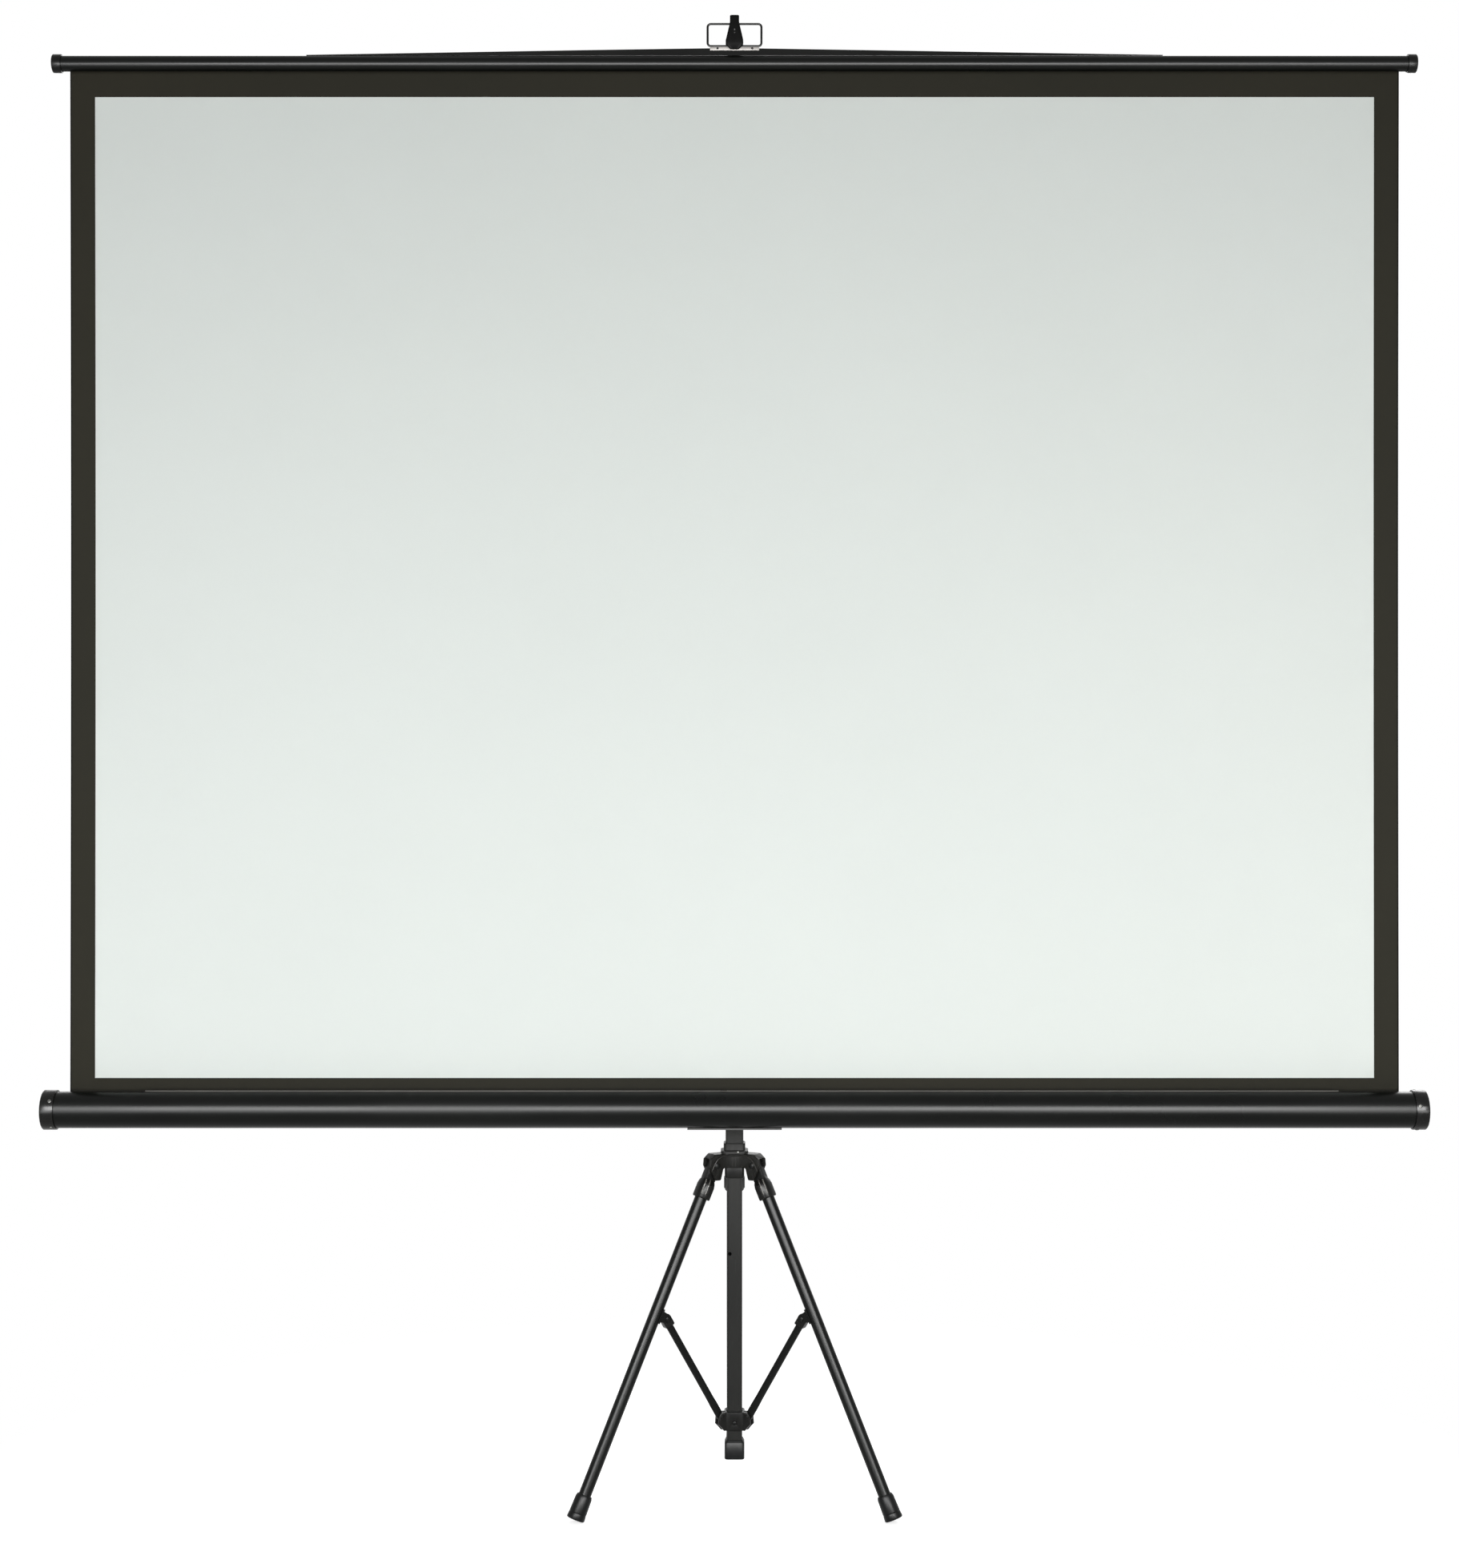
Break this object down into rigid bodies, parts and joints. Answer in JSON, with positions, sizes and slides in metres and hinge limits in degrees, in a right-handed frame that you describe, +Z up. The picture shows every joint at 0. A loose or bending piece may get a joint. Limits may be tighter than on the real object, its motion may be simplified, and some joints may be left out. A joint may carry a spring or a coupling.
{
  "type": "tripod projector screen",
  "caption": "Portable projector screen on a folding tripod: cloth with a black border drawn up from a round case to a top bar that hangs on a hook.",
  "frame": {"origin": "on the floor, in the middle of the object's outline seen from above", "axes": "+Z up; the picture side of the cloth faces -Y; +X to the right as a viewer in front of the screen sees it"},
  "size_m": [2.188, 0.4565, 2.3686],
  "materials": {
    "black_paint": "satin black powder coat",
    "black_enamel": "gloss black enamel",
    "black_plastic": "moulded black plastic, satin",
    "black_rubber": "matte black rubber",
    "zinc": "zinc-plated sheet",
    "dark_steel": "dark plated steel",
    "bright_steel": "plain steel",
    "grey_plastic": "moulded grey plastic",
    "screen_cloth": "matt white projection cloth with a black border and a black back"
  },
  "bodies": {
    "mast": {"mast_tube": "black_paint", "leg_hub": "black_plastic", "post_guide": "black_plastic", "leg_pin_left": "dark_steel", "leg_pin_right": "dark_steel", "leg_pin_rear": "dark_steel", "mast_top_collar": "black_plastic"},
    "post": {"centre_post": "black_paint", "brace_collar": "black_plastic", "collar_screw": "dark_steel", "post_end_cap": "black_rubber"},
    "leg_left": {"leg_head_left": "black_plastic", "leg_tube_left": "black_enamel", "leg_foot_left": "black_rubber", "brace_bracket_left": "black_enamel", "brace_pin_left": "dark_steel"},
    "leg_right": {"leg_head_right": "black_plastic", "leg_tube_right": "black_enamel", "leg_foot_right": "black_rubber", "brace_bracket_right": "black_enamel", "brace_pin_right": "dark_steel"},
    "leg_rear": {"leg_head_rear": "black_plastic", "leg_tube_rear": "black_enamel", "leg_foot_rear": "black_rubber", "brace_bracket_rear": "black_enamel", "brace_pin_rear": "dark_steel"},
    "brace_left": {"brace_head_left": "black_plastic", "brace_tube_left": "black_enamel"},
    "brace_right": {"brace_head_right": "black_plastic", "brace_tube_right": "black_enamel"},
    "brace_rear": {"brace_head_rear": "black_plastic", "brace_tube_rear": "black_enamel"},
    "slider": {"slider_sleeve": "black_plastic", "carry_handle": "black_plastic"},
    "slider_knob": {"slider_knob": "black_plastic"},
    "pole": {"extension_pole": "black_paint", "pole_guide": "black_plastic", "pole_hook": "black_plastic"},
    "pole_knob": {"pole_knob": "black_plastic"},
    "case": {"case_tube": "black_enamel", "case_cap_left": "black_plastic", "case_cap_right": "black_plastic", "case_saddle": "black_paint", "pivot_shaft": "bright_steel", "spring_shaft": "bright_steel", "roller_spring": "dark_steel", "screen_cloth": "screen_cloth"},
    "roller": {"roller_tube": "bright_steel", "roller_plug_left": "grey_plastic", "roller_plug_right": "grey_plastic", "wound_cloth": "screen_cloth"},
    "top_bar": {"top_bar_tube": "black_enamel", "bar_cap_left": "black_plastic", "bar_cap_right": "black_plastic", "hanger_strip": "black_enamel", "bail_plate": "zinc"},
    "bail": {"bail_wire": "dark_steel"}
  },
  "joints": [
    {"name": "leg_fold", "type": "hinge", "parent": "mast", "child": "leg_rear", "pos_m": [0, -0.03262, 0.5375], "axis": [-1, 0, 0], "range_deg": [0, 22]},
    {"name": "leg_fold_left", "type": "hinge", "parent": "mast", "child": "leg_left", "pos_m": [-0.03343, -0.09052, 0.5375], "axis": [0.5, -0.866, 0], "range_deg": [0, 22]},
    {"name": "leg_fold_right", "type": "hinge", "parent": "mast", "child": "leg_right", "pos_m": [0.03343, -0.09052, 0.5375], "axis": [0.5, 0.866, 0], "range_deg": [0, 22]},
    {"name": "brace_fold_left", "type": "hinge", "parent": "leg_left", "child": "brace_left", "pos_m": [-0.11041, -0.13497, 0.30102], "axis": [-0.5, 0.866, 0], "range_deg": [0, 51.2]},
    {"name": "brace_fold_right", "type": "hinge", "parent": "leg_right", "child": "brace_right", "pos_m": [0.11041, -0.13497, 0.30102], "axis": [-0.5, -0.866, 0], "range_deg": [0, 51.2]},
    {"name": "brace_fold_rear", "type": "hinge", "parent": "leg_rear", "child": "brace_rear", "pos_m": [0, 0.05627, 0.30102], "axis": [1, 0, 0], "range_deg": [0, 51.2]},
    {"name": "post_slide", "type": "slide", "parent": "mast", "child": "post", "axis": [0, 0, -1], "range_m": [0, 0.044]},
    {"name": "case_height", "type": "slide", "parent": "mast", "child": "slider", "axis": [0, 0, 1], "range_m": [0, 0.35]},
    {"name": "pole_extend", "type": "slide", "parent": "mast", "child": "pole", "axis": [0, 0, 1], "range_m": [0, 0.351]},
    {"name": "slider_knob_turn", "type": "hinge", "parent": "slider", "child": "slider_knob", "pos_m": [0.0336, -0.07122, 0.634], "axis": [1, 0, 0], "range_deg": [0, 180]},
    {"name": "pole_knob_turn", "type": "hinge", "parent": "mast", "child": "pole_knob", "pos_m": [0.0326, -0.07122, 1.7073], "axis": [1, 0, 0], "range_deg": [0, 180]},
    {"name": "case_level", "type": "hinge", "parent": "slider", "child": "case", "pos_m": [0, -0.112, 0.635], "axis": [0, 1, 0], "range_deg": [-1, 1]},
    {"name": "screen_roll", "type": "slide", "parent": "case", "child": "top_bar", "axis": [0, 0, 1], "range_m": [-1.617, 0], "deforming": ["screen_cloth"]},
    {"name": "roller_spin", "type": "hinge", "parent": "case", "child": "roller", "pos_m": [0, -0.15707, 0.635], "axis": [1, 0, 0], "range_deg": [-4570, 0]},
    {"name": "bail_swing", "type": "hinge", "parent": "top_bar", "child": "bail", "pos_m": [0, -0.13622, 2.3224], "axis": [1, 0, 0], "range_deg": [-3, 3]}
  ],
  "couplings": [
    {"joint": "leg_fold_left", "follows": "leg_fold", "ratio": 1},
    {"joint": "leg_fold_right", "follows": "leg_fold", "ratio": 1},
    {"joint": "brace_fold_left", "follows": "leg_fold", "ratio": 2.3256},
    {"joint": "brace_fold_right", "follows": "leg_fold", "ratio": 2.3256},
    {"joint": "brace_fold_rear", "follows": "leg_fold", "ratio": 2.3256},
    {"joint": "post_slide", "follows": "leg_fold", "m_per_rad": 0.11432},
    {"joint": "pole_extend", "follows": "case_height", "ratio": 1},
    {"joint": "roller_spin", "follows": "screen_roll", "rad_per_m": 49.26}
  ]
}
